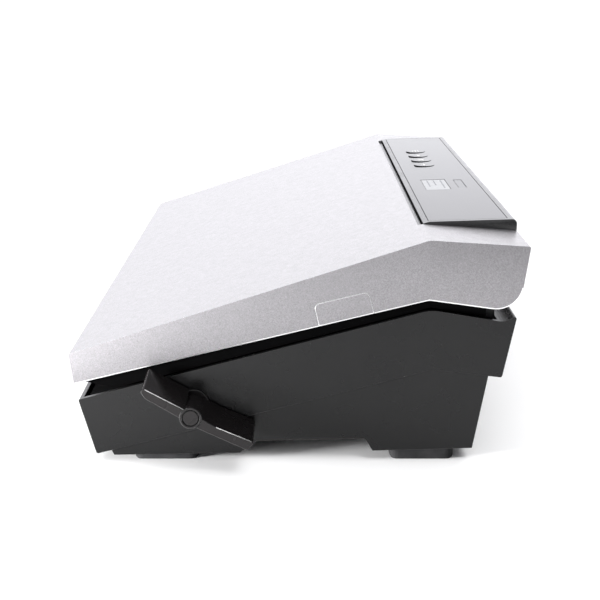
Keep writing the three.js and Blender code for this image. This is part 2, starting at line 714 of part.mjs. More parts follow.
// A blade that hangs from the lid, with the cross pin that the latch hook catches.
function striker(side) {
  const pinAxis = [LEVER_AXIS[0], LEVER_AXIS[1] + STRIKER_HEIGHT];
  const { reach, halfDepth, thickness } = STRIKER_FOOT;
  const footTop = (depth) => upperGuideTop(depth) + GAP + thickness;
  const footDepths = [pinAxis[0] - halfDepth, pinAxis[0] + halfDepth];
  const foothold = bentSheet(
    footDepths.map((depth) => [depth, footTop(depth)]),
    thickness,
    ...onSide(side, STRIKER_BLADE[0] - reach, STRIKER_BLADE[1]),
  );
  const blade = block(
    onSide(side, ...STRIKER_BLADE),
    [pinAxis[0] - STRIKER_BLADE_HALF_DEPTH, pinAxis[0] + STRIKER_BLADE_HALF_DEPTH],
    [pinAxis[1] - STRIKER_PIN_RADIUS - 1, footTop(pinAxis[0]) - 1],
  );
  const pin = rod(pinAxis, STRIKER_PIN_RADIUS, ...onSide(side, STRIKER_BLADE[0] + 1, HOOK_TO + 1));
  return joinAll([blade, foothold, pin]);
}

// ---------------------------------------------------------------- lid

// The lid's rear face and its rear underside are square to each other, so they meet the hinge's
// circle at a quarter turn apart.
function lidOutline(edgeRadius) {
  const across = [Math.cos(LID_REAR_LEAN), -Math.sin(LID_REAR_LEAN)];
  const rearCorner = [
    HINGE[0] + HINGE_RADIUS * (across[0] + across[1]),
    HINGE[1] + HINGE_RADIUS * (across[1] - across[0]),
    HINGE_RADIUS,
  ];
  return outline([
    rearCorner,
    [...LID_REAR_TOP, edgeRadius],
    [...LID_APEX_TOP, 6],
    [...LID_FRONT_TOP, edgeRadius],
    [...LID_FRONT_BOTTOM, edgeRadius],
    [...LID_APEX_BOTTOM, 6],
  ], 8);
}

// The notch for the snap-in cap, square to the lid's lower edge.
function capOutline(margin) {
  const lowerEdge = (depth) => vector([depth, heightOn(LID_FRONT_BOTTOM, LID_APEX_BOTTOM, depth)]);
  const [front, rear] = CAP_DEPTHS.map(lowerEdge);
  const along = rear.clone().sub(front).normalize();
  const up = new THREE.Vector2(-along.y, along.x);
  const corner = (from, slide, rise) => {
    const moved = from.clone().addScaledVector(along, slide);
    return moved.addScaledVector(up, rise).toArray();
  };
  return outline([
    corner(front, -margin, margin > 0 ? -5 : 0),
    corner(rear, margin, margin > 0 ? -5 : 0),
    [...corner(rear, margin, CAP_HEIGHT + margin), CAP_CORNER_RADIUS + margin],
    [...corner(front, -margin, CAP_HEIGHT + margin), CAP_CORNER_RADIUS + margin],
  ]);
}

function lidCover() {
  const outside = lidOutline(0.8);
  const inner = HALF_WIDTH - LID_WALL;
  const cavity = slab(inset(lidOutline(0), LID_WALL), -inner, inner);
  const mouth = slab([
    [MOUTH_FRONT[0], MOUTH_FRONT[1] - OPEN_END],
    [MOUTH_REAR[0], MOUTH_FRONT[1] - OPEN_END],
    MOUTH_REAR,
    MOUTH_MIDDLE,
    MOUTH_FRONT,
  ].map(vector), -inner, inner);
  const panelNotch = block(
    [-PANEL_HALF_WIDTH - GAP, PANEL_HALF_WIDTH + GAP],
    [PANEL_FRONT - GAP, FAR],
    [PANEL_SKIRT - GAP, FAR],
  );
  return cutAll(slab(outside, -HALF_WIDTH, HALF_WIDTH), [
    cavity,
    mouth,
    panelNotch,
    slab(capOutline(GAP), -FAR, FAR),
    ...Object.values(SIDES).map((side) => hingeSlot(side, HINGE_SLOT_DEPTHS.lid, [-FAR, HINGE_SLOT_TOP])),
  ]);
}

const sideCap = (side) => slab(capOutline(0), ...onSide(side, HALF_WIDTH - LID_WALL, HALF_WIDTH));

function upperGuidePlate() {
  const half = HALF_WIDTH - LID_WALL - 2 * GAP;
  const [front, rear] = UPPER_GUIDE_ENDS;
  const top = [
    [UPPER_GUIDE_LIP[0], UPPER_GUIDE_LIP[1] + GUIDE_THICKNESS],
    ...[front, RIM_APEX[0], rear].map((depth) => [depth, upperGuideTop(depth)]),
  ];
  // An upstand along each end closes the space behind the lid's lower edge.
  const skirtTop = top.map(([depth, height]) => [depth, height + UPPER_GUIDE_SKIRT.height]);
  const skirts = Object.values(SIDES).map((side) => bentSheet(
    skirtTop,
    UPPER_GUIDE_SKIRT.height + GUIDE_THICKNESS,
    ...onSide(side, half - UPPER_GUIDE_SKIRT.thickness, half),
  ));
  const lug = (name, station) => {
    const axis = pinchAxis(name);
    const post = block(
      [station - PINCH_LUG.halfWidth, station + PINCH_LUG.halfWidth],
      [axis[0] - PINCH_LUG.halfDepth, axis[0] + PINCH_LUG.halfDepth],
      [upperGuideTop(axis[0]) - 1, axis[1] + PINCH_LUG.halfDepth],
    );
    return post.subtract(rod(axis, PINCH_SHAFT_RADIUS + GAP, -FAR, FAR));
  };
  const lugPair = (name) => PINCH_LUG_STATIONS.map((station) => lug(name, station));
  const lugs = Object.keys(ROLLER_DEPTHS).flatMap(lugPair);
  const plate = cutAll(bentSheet(top, GUIDE_THICKNESS, -half, half), [
    ...sleeveSlots(ROLLER_DEPTHS.feed),
    ...sleeveSlots(ROLLER_DEPTHS.exit),
    glassWindow(),
    ...Object.values(SIDES).map((side) => hingeSlot(side, HINGE_SLOT_DEPTHS.upperGuide, [-FAR, FAR])),
    ...Object.values(SIDES).map((side) => block(
      onSide(side, STRIKER_BLADE[0] - GAP, STRIKER_BLADE[1] + GAP),
      [-1, 1].map((end) => LEVER_AXIS[0] + end * (STRIKER_BLADE_HALF_DEPTH + GAP)),
      [-FAR, FAR],
    )),
  ]);
  return joinAll([plate, ...lugs, ...skirts]);
}

const backingBar = () => pathStrip(
  GLASS_HALF_WIDTH,
  GLASS_HALF_DEPTH,
  (depth) => upperGuideTop(depth) + BACKING_BAR.rise,
  BACKING_BAR.thickness,
);

function pinchRoller(name) {
  const end = PINCH_LUG_STATIONS[1] + PINCH_OVERHANG;
  const half = SLEEVE_LENGTH / 2;
  const steps = SLEEVE_STATIONS.flatMap((station) => [
    [station - half, PINCH_SHAFT_RADIUS],
    [station - half, PINCH_RADIUS],
    [station + half, PINCH_RADIUS],
    [station + half, PINCH_SHAFT_RADIUS],
  ]);
  return turned(pinchAxis(name), [[-end, PINCH_SHAFT_RADIUS], ...steps, [end, PINCH_SHAFT_RADIUS]]);
}

// ---------------------------------------------------------------- control panel

const faceHeight = (depth) => heightOn(PANEL_FACE_FRONT, PANEL_FACE_REAR, depth);

// An upright opening through the panel, or a thin plate let into it, under the sloping face.
function facePlate({ across, depth }, top, thickness) {
  const ends = depth.map((value) => [value, faceHeight(value) + top]);
  return bentSheet(ends, thickness, ...across);
}

const grown = ({ across, depth }, margin) => ({
  across: [across[0] - margin, across[1] + margin],
  depth: [depth[0] - margin, depth[1] + margin],
});

const glassArea = () => ({
  across: [PANEL_FRAME - PANEL_HALF_WIDTH, PANEL_HALF_WIDTH - PANEL_FRAME],
  depth: [PANEL_FACE_FRONT[0], PANEL_FACE_REAR[0]],
});

const verticalPost = (station, depth, radius, low, high) => solid(new THREE.CylinderGeometry(
  radius,
  radius,
  high - low,
  ROUND,
).rotateX(Math.PI / 2).translate(station, depth, (low + high) / 2));

const buttonHoles = () => BUTTON_STATIONS.map((station) => verticalPost(
  station,
  BUTTON_DEPTH,
  BUTTON_RADIUS + GAP,
  PANEL_SKIRT,
  FAR,
));

function panelHousing() {
  const rear = LID_REAR_TOP[0] - PANEL_REAR_STEP;
  const skirtRear = rear - Math.tan(LID_REAR_LEAN) * (LID_REAR_TOP[1] - PANEL_SKIRT);
  const outside = outline([
    [PANEL_FRONT, PANEL_SKIRT],
    [skirtRear, PANEL_SKIRT],
    [rear, LID_REAR_TOP[1]],
    [rear, faceHeight(rear), PANEL_REAR_RADIUS],
    [...PANEL_FACE_FRONT, 1],
    [PANEL_GROOVE[0] + PANEL_BEVEL.depth, PANEL_FACE_FRONT[1] - PANEL_BEVEL.drop, 0.5],
    PANEL_GROOVE,
    [PANEL_FRONT, PANEL_GROOVE[1]],
  ]);
  const inside = outline([
    [PANEL_FRONT + PANEL_WALL, PANEL_SKIRT - PANEL_WALL],
    [skirtRear - PANEL_WALL, PANEL_SKIRT - PANEL_WALL],
    [rear - PANEL_WALL, LID_REAR_TOP[1]],
    [PANEL_FRONT + PANEL_WALL, PANEL_GROOVE[1] - PANEL_WALL],
  ]);
  const shell = slab(outside, -PANEL_HALF_WIDTH, PANEL_HALF_WIDTH);
  const hollow = slab(inside, PANEL_WALL - PANEL_HALF_WIDTH, PANEL_HALF_WIDTH - PANEL_WALL);
  const recess = facePlate(grown(glassArea(), GAP), PANEL_WALL, PANEL_WALL + PANEL_GLASS_THICKNESS + GAP);
  return cutAll(shell, [hollow, recess, ...buttonHoles()]);
}

function panelGlass() {
  const openings = [DISPLAY, STATUS_LIGHT].map((area) => facePlate(
    grown(area, GAP),
    PANEL_WALL,
    PANEL_WALL + 2 * PANEL_GLASS_THICKNESS,
  ));
  return cutAll(facePlate(glassArea(), 0, PANEL_GLASS_THICKNESS), [...openings, ...buttonHoles()]);
}

const litPlate = (area) => facePlate(area, -LIT_STEP, PANEL_GLASS_THICKNESS - LIT_STEP);

function button(station) {
  const top = faceHeight(BUTTON_DEPTH) + BUTTON_PROUD;
  return verticalPost(station, BUTTON_DEPTH, BUTTON_RADIUS, top - BUTTON_HEIGHT, top);
}

// ---------------------------------------------------------------- assembly

function baseMeshes() {
  const meshes = [
    piece('base_tray', baseTray(), BLACK_PLASTIC),
    piece('base_pedestal', basePedestal(), BLACK_PLASTIC),
    piece('lower_guide_plate', lowerGuidePlate(), DARK_PLASTIC),
    piece('scan_glass', scanGlass(), CLEAR_GLASS),
    piece('sensor_bar', sensorBar(), DARK_PLASTIC),
    piece('drive_motor', driveMotor(), ZINC_SHEET),
    piece('drive_belt', driveBelt(), RUBBER),
    piece('main_board', blockOf(BOARD), BOARD_GREEN),
    piece('usb_socket', usbSocket(), STEEL),
    piece('power_socket', powerSocket(), DARK_PLASTIC),
    piece('lever_bush', leverBush(), BLACK_PLASTIC),
  ];
  for (const [sideName, side] of Object.entries(SIDES)) {
    for (const [place, depth] of Object.entries(FOOT_DEPTHS)) {
      meshes.push(piece(`foot_${place}_${sideName}`, foot(side, depth), RUBBER));
    }
    for (const name of Object.keys(ROLLER_DEPTHS)) {
      meshes.push(piece(`${name}_bush_${sideName}`, bush(side, name), BRONZE));
    }
    meshes.push(piece(`side_frame_${sideName}`, sideFrame(side), ZINC_SHEET));
    meshes.push(piece(`hinge_bracket_${sideName}`, hingeBracket(side), ZINC_SHEET));
    meshes.push(piece(`hinge_pin_${sideName}`, hingePin(side), STEEL));
  }
  return meshes;
}

function rollerMeshes() {
  const meshes = [piece('motor_pulley', motorPulley(), STEEL)];
  for (const name of Object.keys(ROLLER_DEPTHS)) {
    meshes.push(piece(`${name}_shaft`, rollerShaft(name), STEEL));
    meshes.push(piece(`${name}_pulley`, pulley(name), DARK_PLASTIC));
    SLEEVE_STATIONS.forEach((station, index) => {
      meshes.push(piece(`${name}_sleeve_${index + 1}`, rollerSleeve(name, station), GREY_RUBBER));
    });
    meshes.push(piece(`${name}_pinch_roller`, pinchRoller(name), GREY_RUBBER));
  }
  return meshes;
}

function leverMeshes() {
  return [
    piece('lever_knob', leverKnob(), BLACK_PLASTIC),
    piece('lever_cap', leverCap(), BLACK_PLASTIC),
    piece('latch_shaft', latchShaft(), STEEL),
    piece('latch_hook_left', latchHook(SIDES.left), ZINC_SHEET),
    piece('latch_hook_right', latchHook(SIDES.right), ZINC_SHEET),
  ];
}

function lidMeshes() {
  const meshes = [
    piece('lid_cover', lidCover(), SILVER_PAINT),
    piece('upper_guide_plate', upperGuidePlate(), DARK_PLASTIC),
    piece('backing_bar', backingBar(), WHITE_PLASTIC),
    piece('panel_housing', panelHousing(), BLACK_PLASTIC),
    piece('panel_glass', panelGlass(), GLOSS_BLACK),
    piece('display_panel', litPlate(DISPLAY), LIT_WHITE),
    piece('status_light', litPlate(STATUS_LIGHT), LIT_WHITE),
  ];
  for (const [sideName, side] of Object.entries(SIDES)) {
    meshes.push(piece(`side_cap_${sideName}`, sideCap(side), SILVER_PAINT));
    meshes.push(piece(`striker_${sideName}`, striker(side), ZINC_SHEET));
    meshes.push(piece(`hinge_ear_${sideName}`, hingeEar(side), ZINC_SHEET));
  }
  BUTTON_STATIONS.forEach((station, index) => {
    meshes.push(piece(`button_${index + 1}`, button(station), GLOSS_BLACK));
  });
  return meshes;
}

// The lever stands out to the right, so the body is set left to centre the whole object on X.
const scanner = new THREE.Group();
scanner.add(...baseMeshes(), ...rollerMeshes(), ...leverMeshes(), ...lidMeshes());
scanner.position.x = -LEVER_REACH / 2;

export default scanner;
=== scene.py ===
"""Looks for a sheet fed document scanner, in metres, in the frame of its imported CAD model."""
import math

import bmesh
import bpy
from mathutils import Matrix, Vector


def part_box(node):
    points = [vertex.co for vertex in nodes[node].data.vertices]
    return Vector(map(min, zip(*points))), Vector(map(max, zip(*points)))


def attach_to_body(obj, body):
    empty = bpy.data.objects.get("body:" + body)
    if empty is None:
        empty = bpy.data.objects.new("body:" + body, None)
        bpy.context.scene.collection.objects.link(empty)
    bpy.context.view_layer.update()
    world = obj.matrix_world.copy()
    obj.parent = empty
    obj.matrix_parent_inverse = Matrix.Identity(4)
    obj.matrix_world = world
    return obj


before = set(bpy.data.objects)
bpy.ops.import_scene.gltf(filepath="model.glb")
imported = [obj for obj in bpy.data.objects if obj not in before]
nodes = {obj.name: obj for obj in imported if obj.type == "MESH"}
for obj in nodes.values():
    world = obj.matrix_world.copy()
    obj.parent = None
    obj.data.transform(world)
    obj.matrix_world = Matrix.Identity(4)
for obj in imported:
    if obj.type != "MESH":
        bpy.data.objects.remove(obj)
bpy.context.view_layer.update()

MM = 0.001
SIDES = {"left": -1, "right": 1}

# The side view of the lid, as (depth, height) in millimetres.
LID_TOP_LINE = ((-104, 52.1), (58.9, 104.7), (104.05, 101.9))
LID_BOTTOM_LINE = ((-102, 37.8), (59.4, 77.2), (91.2, 72.8))
LID_HINGE, LID_HINGE_RADIUS = (89.6, 85.1), 12
SIDE_BOW = math.radians(9)  # how far the lid's side walls lean at their upper and lower edges
HIGHLIGHT_LINE_HEIGHT = 0.5 * MM  # height of the painted highlight line along the lower edge of the lid's sides
HIGHLIGHT_LINE_TILT = math.tan(math.radians(22))
OUTER_EDGE = 1 * MM  # an edge further in than this is part of a cap's opening

# ---------------------------------------------------------------- camera and light

LENS_MM = 75
CAMERA_TO_SIDE = 0.543  # from the lens to the tray's right side
CAMERA_HEIGHT = 0.2186
CAMERA_DEPTH = 0.0013
CAMERA_TILT = math.radians(14.57)
RIM_PLACE = (0.504, 0.235, 0.535)
WINDOW_PLACE, WINDOW_TARGET, WINDOW_SIZE = (0.34, -0.45, 0.06), (0.20, -0.11, 0.06), (0.10, 0.10)


def make_camera():
    data = bpy.data.cameras.new("camera")
    data.lens = LENS_MM
    data.sensor_width = 36
    camera = bpy.data.objects.new("camera", data)
    bpy.context.collection.objects.link(camera)
    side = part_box("base_tray")[1].x
    camera.location = (side + CAMERA_TO_SIDE, CAMERA_DEPTH, CAMERA_HEIGHT)
    looking = Vector((-math.cos(CAMERA_TILT), 0, -math.sin(CAMERA_TILT)))
    camera.rotation_mode = "QUATERNION"
    camera.rotation_quaternion = looking.to_track_quat("-Z", "Y")
    bpy.context.scene.camera = camera


def area_light(name, place, target, size, power):
    data = bpy.data.lights.new(name, "AREA")
    data.shape = "RECTANGLE"
    data.size, data.size_y = size
    data.energy = power
    light = bpy.data.objects.new(name, data)
    bpy.context.collection.objects.link(light)
    light.location = place
    light.rotation_mode = "QUATERNION"
    light.rotation_quaternion = (Vector(target) - Vector(place)).to_track_quat("-Z", "Y")
    return light


def light_only(light, pieces):
    """Lets a light reach these pieces and nothing else."""
    reached = bpy.data.collections.new(f"lit_by_{light.name}")
    for piece in pieces:
        reached.objects.link(piece)
    light.light_linking.receiver_collection = reached


def make_lights():
    sun = bpy.data.lights.new("overhead", "SUN")
    sun.energy = 2.7
    sun.angle = math.radians(85)
    overhead = bpy.data.objects.new("overhead", sun)
    overhead.rotation_euler = (math.radians(-2), math.radians(-26), 0)
    bpy.context.collection.objects.link(overhead)
    area_light("rim", RIM_PLACE, (0.19, -0.035, 0.02), (0.07, 0.07), 0.3)
    area_light("window", WINDOW_PLACE, WINDOW_TARGET, WINDOW_SIZE, 7.8)
    lid_light = area_light("lid_light", WINDOW_PLACE, WINDOW_TARGET, WINDOW_SIZE, 1.6)
    light_only(lid_light, [nodes[name] for name in ("lid_cover", *both("side_cap"))])


BRIGHTER = (
    # towards, from this cosine, to this cosine, how much brighter
    ((-1, 0, 0), 0.45, 0.95, 6.2),
    ((0.87, -0.48, 0.1), 0.72, 0.98, 3.0),
)
ROOM = (0.22, 0.22, 0.23)


def make_world():
    """A studio, dim towards the right rear, with a bright left wall and a window at the right front."""
    world = bpy.data.worlds.new("studio")
    bpy.context.scene.world = world
    world.use_nodes = True
    tree = world.node_tree
    background = tree.nodes["Background"]
    place = tree.nodes.new("ShaderNodeTexCoord")
    light = None
    for towards, from_cosine, to_cosine, brighter in BRIGHTER:
        dot = tree.nodes.new("ShaderNodeVectorMath")
        dot.operation = "DOT_PRODUCT"
        tree.links.new(place.outputs["Generated"], dot.inputs[0])
        dot.inputs[1].default_value = Vector(towards).normalized()
        ramp = tree.nodes.new("ShaderNodeMapRange")
        ramp.interpolation_type = "SMOOTHSTEP"
        limits = {"From Min": from_cosine, "From Max": to_cosine, "To Min": 0, "To Max": brighter}
        for key, number in limits.items():
            ramp.inputs[key].default_value = number
        tree.links.new(dot.outputs["Value"], ramp.inputs["Value"])
        total = tree.nodes.new("ShaderNodeMath")
        tree.links.new(ramp.outputs["Result"], total.inputs[0])
        if light is None:
            total.inputs[1].default_value = 1.0
        else:
            tree.links.new(light, total.inputs[1])
        light = total.outputs["Value"]
    tree.links.new(light, background.inputs["Strength"])
    background.inputs["Color"].default_value = (*ROOM, 1)


# ---------------------------------------------------------------- shaders


class Shader:
    """A Principled material whose colour, roughness and relief come from textures in object space."""

    def __init__(self, name, color, roughness, metallic=0.0, specular=0.5):
        self.material = bpy.data.materials.new(name)
        self.material.use_nodes = True
        self.tree = self.material.node_tree
        self.surface = self.tree.nodes["Principled BSDF"]
        self.surface.inputs["Base Color"].default_value = (*color, 1)
        self.surface.inputs["Roughness"].default_value = roughness
        self.surface.inputs["Metallic"].default_value = metallic
        self.surface.inputs["Specular IOR Level"].default_value = specular
        self.place = self.tree.nodes.new("ShaderNodeTexCoord").outputs["Object"]
        self.relief = None

    def put(self, kind, **values):
        node = self.tree.nodes.new(kind)
        for key, value in values.items():
            if key in node.inputs:
                self.feed(node.inputs[key], value)
            else:
                setattr(node, key, value)
        return node

    def feed(self, socket, value):
        if isinstance(value, bpy.types.NodeSocket):
            self.tree.links.new(value, socket)
        else:
            socket.default_value = value

    def stretched(self, scale):
        return self.put("ShaderNodeMapping", Vector=self.place, Scale=scale).outputs["Vector"]

    def noise(self, scale, detail=2.0, roughness=0.5, place=None):
        return self.put("ShaderNodeTexNoise", Vector=place or self.place, Scale=scale, Detail=detail,
                        Roughness=roughness).outputs["Fac"]

    def cells(self, scale, output="Distance"):
        return self.put("ShaderNodeTexVoronoi", Vector=self.place, Scale=scale).outputs[output]

    def scaled(self, value, low, high, from_low=0.0, from_high=1.0):
        node = self.put("ShaderNodeMapRange")
        for key, number in (("Value", value), ("From Min", from_low), ("From Max", from_high),
                            ("To Min", low), ("To Max", high)):
            self.feed(node.inputs[key], number)
        return node.outputs["Result"]

    def blend(self, factor, first, second):
        node = self.put("ShaderNodeMix", data_type="RGBA")
        self.feed(node.inputs["Factor"], factor)
        colour_a, colour_b = [socket for socket in node.inputs if socket.type == "RGBA"]
        self.feed(colour_a, first if isinstance(first, bpy.types.NodeSocket) else (*first, 1))
        self.feed(colour_b, second if isinstance(second, bpy.types.NodeSocket) else (*second, 1))
        return [socket for socket in node.outputs if socket.type == "RGBA"][0]

    def maths(self, operation, first, second=0.0):
        node = self.put("ShaderNodeMath", operation=operation)
        self.feed(node.inputs[0], first)
        self.feed(node.inputs[1], second)
        return node.outputs["Value"]

    def axis(self, letter, place=None):
        return self.put("ShaderNodeSeparateXYZ", Vector=place or self.place).outputs[letter]

    def edges(self, radius):
        """1 on an edge or corner rounder than the radius can follow, 0 on a flat."""
        rounded = self.put("ShaderNodeBevel", Radius=radius, samples=4).outputs["Normal"]
        true = self.put("ShaderNodeNewGeometry").outputs["Normal"]
        alike = self.put("ShaderNodeVectorMath", operation="DOT_PRODUCT")
        self.feed(alike.inputs[0], rounded)
        self.feed(alike.inputs[1], true)
        return self.scaled(alike.outputs["Value"], 1.0, 0.0, 0.75, 0.99)

    def colour(self, value):
        self.feed(self.surface.inputs["Base Color"], value)
        return self

    def rough(self, value):
        self.feed(self.surface.inputs["Roughness"], value)
        return self

    def bump(self, height, distance, strength=1.0):
        node = self.put("ShaderNodeBump", Height=height, Distance=distance, Strength=strength)
        if self.relief is not None:
            self.feed(node.inputs["Normal"], self.relief)
        self.relief = node.outputs["Normal"]
        self.feed(self.surface.inputs["Normal"], self.relief)
        return self


def over_lines(s, depth, height, points):
    """Height over a concave chain of straight lines in the side view."""
    nearest = None
    for (from_y, from_z), (to_y, to_z) in zip(points, points[1:]):
        slope = (to_z - from_z) / (to_y - from_y)
        line = s.maths("ADD", s.maths("MULTIPLY", depth, slope), (from_z - slope * from_y) * MM)
        nearest = line if nearest is None else s.maths("MINIMUM", nearest, line)
    return s.maths("SUBTRACT", height, nearest)


def over_hinge_corner(s, depth, height):
    """Distance in from the rounded corner below the hinge, or a large one away from it."""
    across = s.maths("SUBTRACT", depth, LID_HINGE[0] * MM)
    above = s.maths("SUBTRACT", height, LID_HINGE[1] * MM)
    squares = s.maths("ADD", s.maths("MULTIPLY", across, across), s.maths("MULTIPLY", above, above))
    reach = s.maths("SQRT", squares)
    inside = s.maths("SUBTRACT", LID_HINGE_RADIUS * MM, reach)
    away = s.maths("MAXIMUM", s.maths("MULTIPLY", across, -1), s.maths("ADD", above, 2 * MM))
    return s.maths("ADD", inside, s.maths("GREATER_THAN", away, 0))


def side_relief(s):
    """Bows the lid's side walls out a little and tilts the thin line along their lower edge, where a
    highlight is painted.

    Returns 1 on that line and 0 elsewhere."""
    depth, height = s.axis("Y"), s.axis("Z")
    over = over_lines(s, depth, height, LID_BOTTOM_LINE)
    under = s.maths("MULTIPLY", over_lines(s, depth, height, LID_TOP_LINE), -1)
    bow = s.maths("DIVIDE", s.maths("MULTIPLY", over, under), s.maths("ADD", over, under))
    facing = s.put("ShaderNodeSeparateXYZ", Vector=s.put("ShaderNodeNewGeometry").outputs["True Normal"])
    on_side = s.maths("GREATER_THAN", s.maths("ABSOLUTE", facing.outputs["X"]), 0.9)
    s.bump(s.maths("MULTIPLY", s.maths("MULTIPLY", bow, math.tan(SIDE_BOW)), on_side), 1.0)
    from_edge = s.maths("MINIMUM", over, over_hinge_corner(s, depth, height))
    slope = s.maths("MULTIPLY", s.maths("MINIMUM", from_edge, HIGHLIGHT_LINE_HEIGHT), HIGHLIGHT_LINE_TILT)
    s.bump(s.maths("MULTIPLY", slope, on_side), 1.0)
    return s.maths("MULTIPLY", s.maths("LESS_THAN", from_edge, HIGHLIGHT_LINE_HEIGHT), on_side)


def silver_paint():
    """Metallic paint: fine flakes under a satin coat, with a painted highlight line along the lower edge.
    """
    s = Shader("silver_paint", (0.24, 0.235, 0.25), 0.55, metallic=0.88)
    painted_highlight_line = side_relief(s)
    flakes = s.cells(4200, "Color")
    flake = s.put("ShaderNodeSeparateColor", Color=flakes).outputs["Red"]
    cloud = s.noise(1100, 3.0, 0.65)
    sparkle = s.maths("ADD", s.maths("MULTIPLY", flake, 0.55), s.maths("MULTIPLY", cloud, 0.6))
    dark, light = (0.155, 0.15, 0.158), (0.315, 0.306, 0.318)
    paint = s.blend(s.scaled(sparkle, 0, 1, 0.15, 0.95), dark, light)
    # the line along the lower edge is coloured near-white: a painted highlight
    s.colour(s.blend(painted_highlight_line, paint, (0.97, 0.97, 0.97)))
    satin = s.scaled(s.noise(240, 3.0), 0.52, 0.62, 0.3, 0.7)
    s.rough(s.maths("SUBTRACT", satin, s.maths("MULTIPLY", painted_highlight_line, 0.25)))
    s.surface.inputs["Coat Weight"].default_value = 0.9
    s.surface.inputs["Coat Roughness"].default_value = 0.25
    s.bump(flake, 0.000010, 0.3)
    return s.bump(s.noise(420, 1.0), 0.00002, 0.2).material


def painted_highlight_edge():
    """The chamfer round the silver pieces, coloured near-white as a painted highlight, with a weaker
    painted highlight round the caps' openings.
    """
    s = Shader("painted_highlight_edge", (0.93, 0.93, 0.94), 0.3, metallic=0.35, specular=0.8)
    lines = s.noise(1500, 2.0, 0.6)
    # near-white colour: the painted highlight on the chamfers
    bright = s.blend(lines, (0.9, 0.9, 0.91), (0.96, 0.96, 0.97))
    depth, height = s.axis("Y"), s.axis("Z")
    below_top = s.maths("MULTIPLY", over_lines(s, depth, height, LID_TOP_LINE), -1)
    inner = s.maths("MINIMUM", over_lines(s, depth, height, LID_BOTTOM_LINE), below_top)
    # round the caps' openings the painted highlight is made weaker
    s.colour(s.blend(s.maths("GREATER_THAN", inner, OUTER_EDGE), bright, (0.62, 0.62, 0.63)))
    return s.rough(s.scaled(lines, 0.24, 0.36, 0.3, 0.7)).material


def sheen_painted_edge(name, level, roughness):
    """The moulded corner of a black piece, smoother than its textured faces, coloured lighter than them as
    a painted sheen.
    """
    s = Shader(name, (level, level, level), roughness, specular=0.7)
    wear = s.noise(300, 3.0, 0.6)
    s.colour(s.blend(wear, (level * 0.8,) * 3, (level * 1.3,) * 3))
    return s.rough(s.scaled(wear, roughness - 0.04, roughness + 0.06, 0.3, 0.7)).material


def moulded_black(name, color, roughness, grain, depth, wear=0.02, specular=0.35):
    """Spark-textured black plastic: pitted grain, faint flow marks, edges polished a little by handling."""
    s = Shader(name, color, roughness, specular=specular)
    pits = s.cells(grain)
    fine = s.noise(grain * 1.7, 3.0, 0.6)
    flow = s.noise(9, 2.0, 0.5, s.stretched((0.35, 1, 1)))
    lighter = tuple(channel * 1.4 for channel in color)
    worn = tuple(channel + wear for channel in lighter)
    base = s.blend(s.scaled(flow, 0, 1, 0.3, 0.75), color, lighter)
    s.colour(s.blend(s.scaled(s.edges(0.0006), 0, 0.6), base, worn))
    s.rough(s.scaled(s.noise(55, 3.0), roughness - 0.06, roughness + 0.08, 0.3, 0.7))
    s.bump(pits, depth, 0.5)
    return s.bump(fine, depth * 0.6, 0.5).material


def panel_plastic():
    """Satin black that mirrors the room along the panel's top and is dead matt down its front wall."""
    s = Shader("panel_plastic", (0.005, 0.005, 0.0055), 0.2)
    normal = s.put("ShaderNodeNewGeometry").outputs["True Normal"]
    front = s.scaled(s.axis("Y", normal), 1.0, 0.0, -0.8, -0.4)
    s.colour(s.blend(s.noise(9, 2.0), (0.004, 0.004, 0.0045), (0.007, 0.007, 0.0075)))
    s.rough(s.maths("MAXIMUM", s.scaled(s.noise(55, 3.0), 0.16, 0.26, 0.3, 0.7), front))
    s.feed(s.surface.inputs["Specular IOR Level"], s.scaled(front, 1.0, 0.02))
    return s.bump(s.cells(3600), 0.000004, 0.4).material


def gloss_window():
    """Polished black window with light dust and wiped smears."""
    s = Shader("gloss_black", (0.006, 0.006, 0.007), 0.07, specular=0.5)
    dust = s.scaled(s.cells(1500), 1, 0, 0.0, 0.05)
    smear = s.noise(38, 5.0, 0.7, s.stretched((0.4, 1.6, 1)))
    s.colour(s.blend(s.maths("MULTIPLY", dust, 0.12), (0.006, 0.006, 0.007), (0.3, 0.3, 0.3)))
    return s.rough(s.scaled(smear, 0.05, 0.16, 0.4, 0.75)).material


def white_plastic():
    s = Shader("white_plastic", (0.86, 0.86, 0.83), 0.5)
    s.colour(s.blend(s.noise(60, 4.0), (0.82, 0.82, 0.79), (0.89, 0.89, 0.87)))
    return s.bump(s.noise(2600, 2.0), 0.00001, 0.4).material


def lit_display():
    """A backlit panel behind a fine dot mask, unevenly lit."""
    s = Shader("lit_display", (0.10, 0.11, 0.12), 0.2, specular=0.4)
    dots = s.scaled(s.cells(2200), 0.86, 1.0, 0.0, 0.5)
    glow = s.scaled(s.noise(60, 1.0), 0.75, 1.0, 0.3, 0.7)
    light = s.maths("MULTIPLY", dots, glow)
    white = s.put("ShaderNodeCombineColor", Red=light, Green=light, Blue=light)
    s.feed(s.surface.inputs["Emission Color"], white.outputs["Color"])
    s.surface.inputs["Emission Strength"].default_value = 0.2
    return s.material


def display_ink():
    """The dark bars shown on the display."""
    s = Shader("display_ink", (0.05, 0.06, 0.07), 0.3, specular=0.3)
    s.colour(s.blend(s.cells(2200), (0.10, 0.11, 0.13), (0.14, 0.15, 0.17)))
    return s.material


def lit_strip():
    s = Shader("lit_strip", (0.03, 0.032, 0.034), 0.2, specular=0.4)
    s.colour(s.blend(s.noise(300, 2.0), (0.03, 0.032, 0.034), (0.06, 0.062, 0.066)))
    s.surface.inputs["Emission Color"].default_value = (0.85, 0.92, 1.0, 1)
    s.surface.inputs["Emission Strength"].default_value = 0.03
    return s.material


def clear_glass():
    s = Shader("clear_glass", (0.86, 0.93, 0.91), 0.03)
    s.surface.inputs["Transmission Weight"].default_value = 0.85
    s.surface.inputs["IOR"].default_value = 1.5
    s.rough(s.scaled(s.noise(45, 4.0), 0.02, 0.08, 0.4, 0.8))
    return s.material


